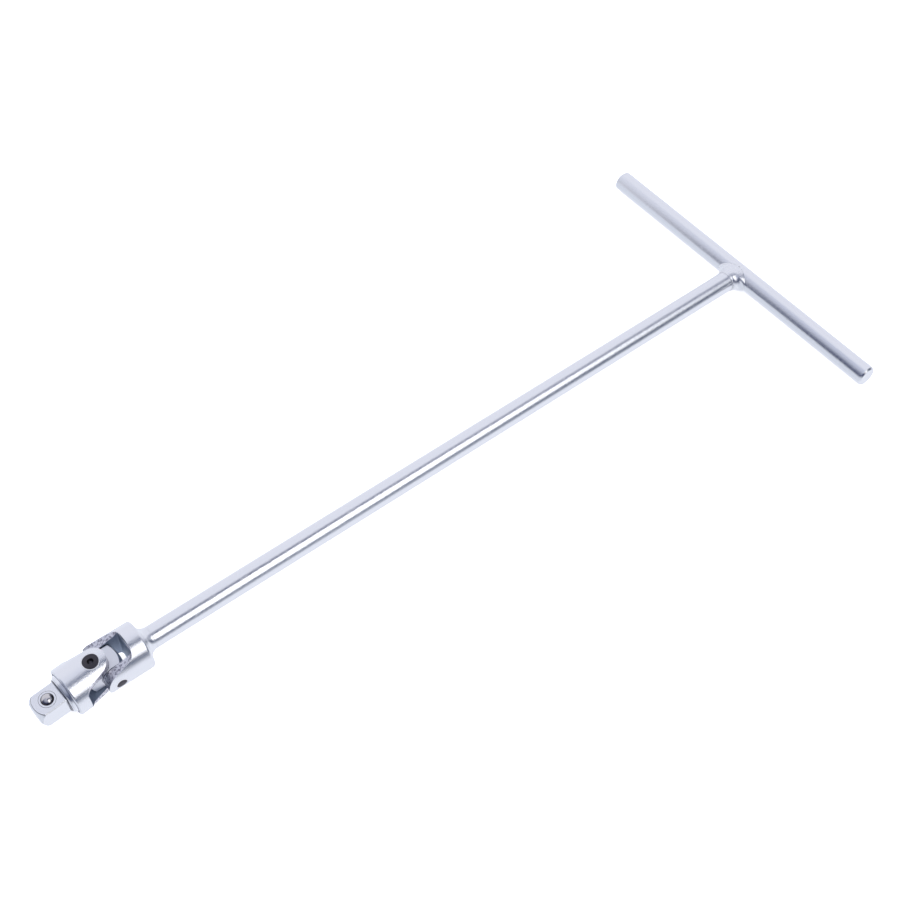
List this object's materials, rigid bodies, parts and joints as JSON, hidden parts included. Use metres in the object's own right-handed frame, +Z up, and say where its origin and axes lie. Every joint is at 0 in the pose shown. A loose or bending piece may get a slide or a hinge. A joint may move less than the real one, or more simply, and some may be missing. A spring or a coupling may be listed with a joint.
{
  "type": "t-handle driver with universal joint",
  "caption": "T-handle socket driver: a welded round crossbar and long shank end in a universal joint with a square drive and a sprung detent ball.",
  "frame": {"origin": "under the middle of the tool's box, on the surface that the tool lies on", "axes": "+X from the square drive to the crossbar, +Y along the crossbar to its far end, +Z up from the surface"},
  "size_m": [0.467, 0.202, 0.0261],
  "materials": {
    "satin_chrome": "satin chrome plate",
    "bright_block": "satin chrome plate",
    "black_oxide": "black oxide steel",
    "polished_steel": "polished bearing steel",
    "spring_steel": "drawn wire"
  },
  "bodies": {
    "handle": {"crossbar": "satin_chrome", "handle_weld": "satin_chrome", "shank": "satin_chrome", "shank_yoke": "satin_chrome", "cross_pin": "black_oxide"},
    "block": {"centre_block": "bright_block"},
    "drive": {"drive_yoke": "satin_chrome", "main_pin": "black_oxide", "detent_spring": "spring_steel"},
    "ball": {"detent_ball": "polished_steel"}
  },
  "joints": [
    {"name": "cross_pin_hinge", "type": "hinge", "parent": "handle", "child": "block", "pos_m": [-0.19266, -0.0005, 0.0132], "axis": [0.0014, 0.9962, 0.0871], "range_deg": [-35, 37]},
    {"name": "main_pin_hinge", "type": "hinge", "parent": "block", "child": "drive", "pos_m": [-0.20021, -0.00049, 0.01321], "axis": [-0.0001, -0.0871, 0.9962], "range_deg": [-40, 32]},
    {"name": "detent_push", "type": "slide", "parent": "drive", "child": "ball", "axis": [-0.0001, -0.0871, 0.9962], "range_m": [-0.0019, 0], "stiffness_N_per_m": 3000, "springref_m": 0.003, "deforming": ["detent_spring"]}
  ]
}
